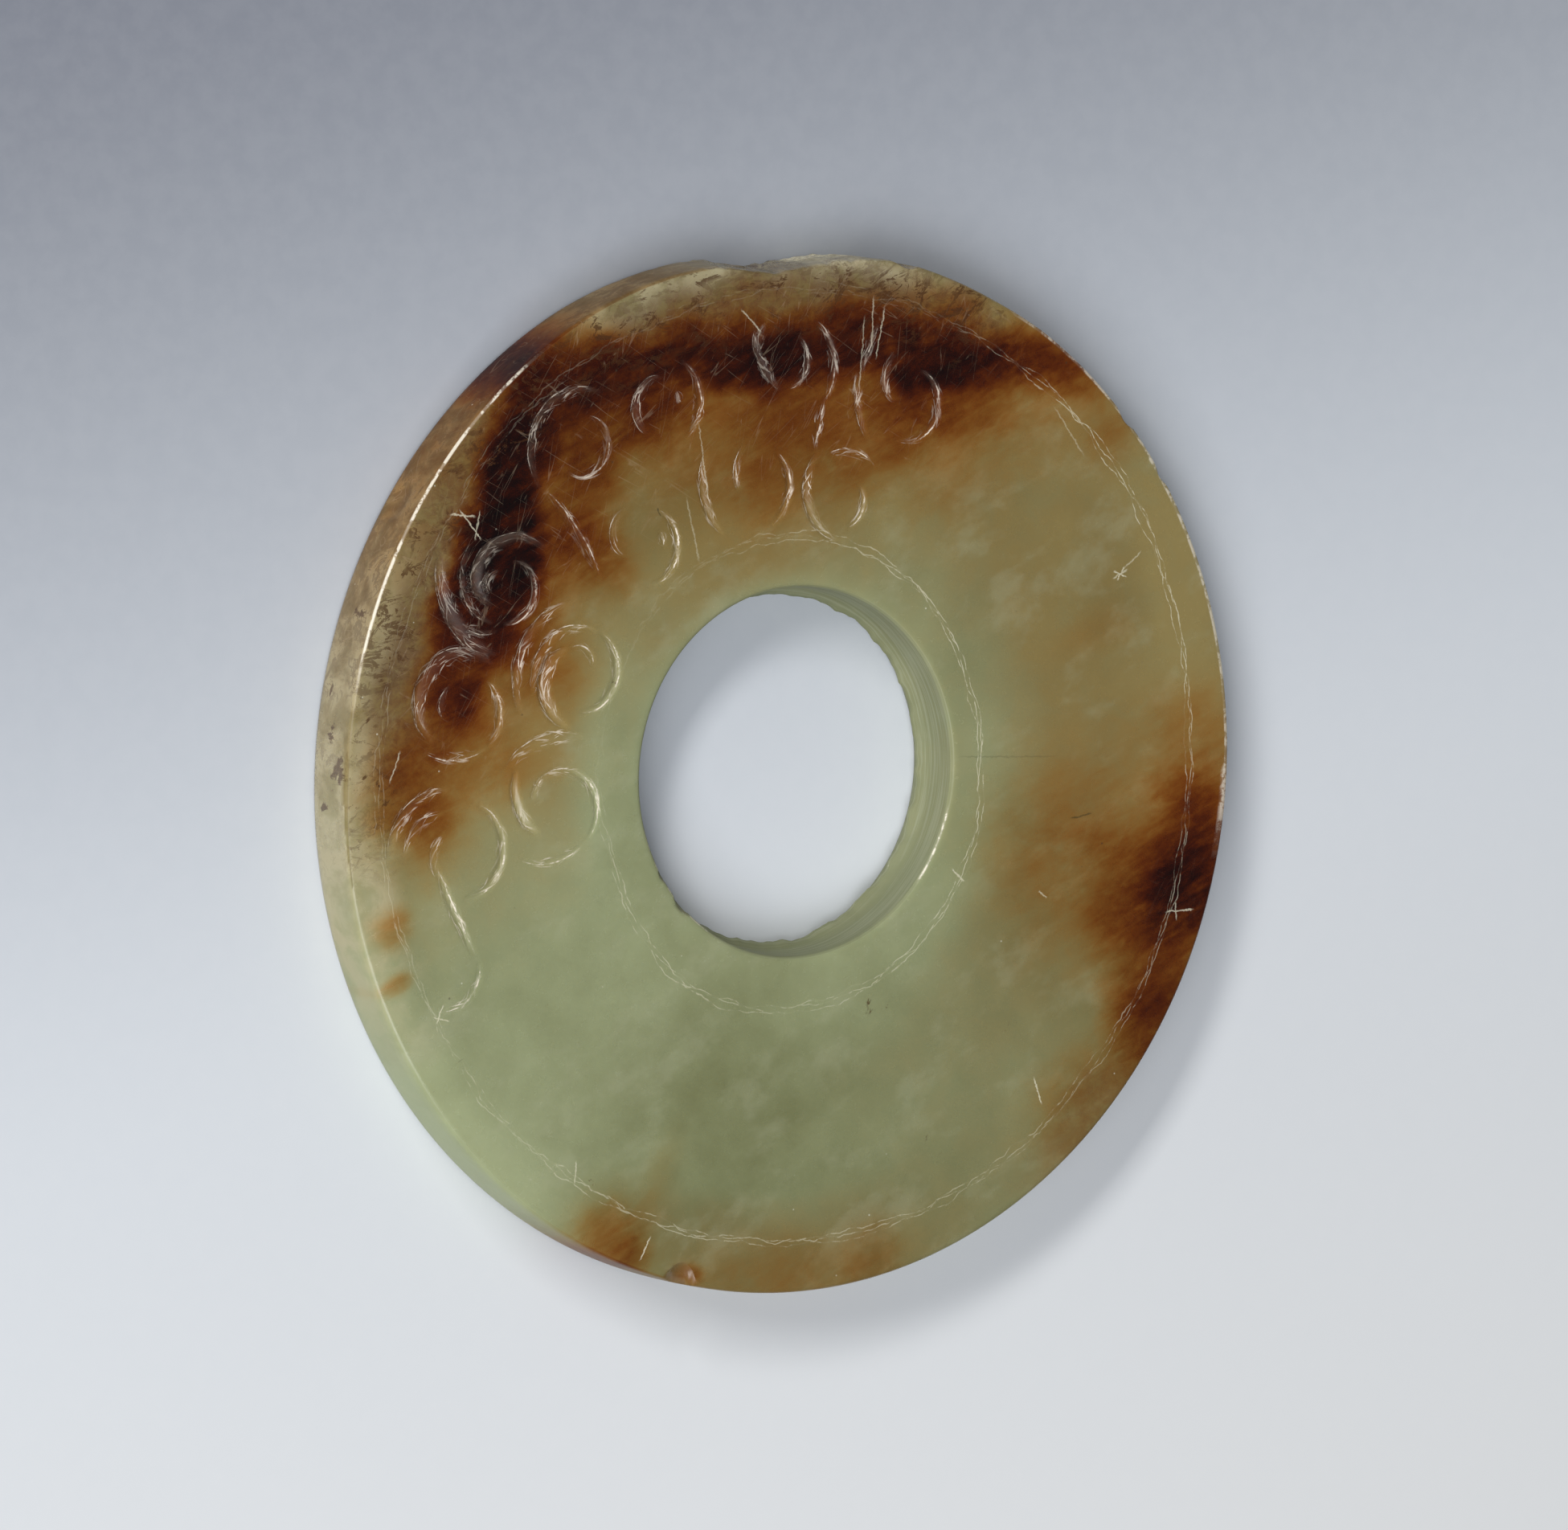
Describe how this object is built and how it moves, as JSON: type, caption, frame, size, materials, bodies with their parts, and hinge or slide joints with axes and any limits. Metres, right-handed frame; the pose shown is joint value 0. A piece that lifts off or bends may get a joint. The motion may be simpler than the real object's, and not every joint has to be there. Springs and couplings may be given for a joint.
{
  "type": "jade bi disc",
  "caption": "Flat round disc of nephrite jade with a wide drilled hole, a worn, chipped rim and shallow spiral curls carved over part of its upper face.",
  "frame": {"origin": "middle of the disc's box in X and Y, on the plane that the plain face lies on", "axes": "+Z is along the hole, out of the carved face; +Y points to the broken stretch of rim; the carved curls lie on the -X and +Y side"},
  "size_m": [0.0502, 0.0496, 0.0032],
  "materials": {
    "jade": "polished, with brown staining along one arc"
  },
  "bodies": {
    "root": {"jade_disc": "jade"}
  },
  "joints": []
}
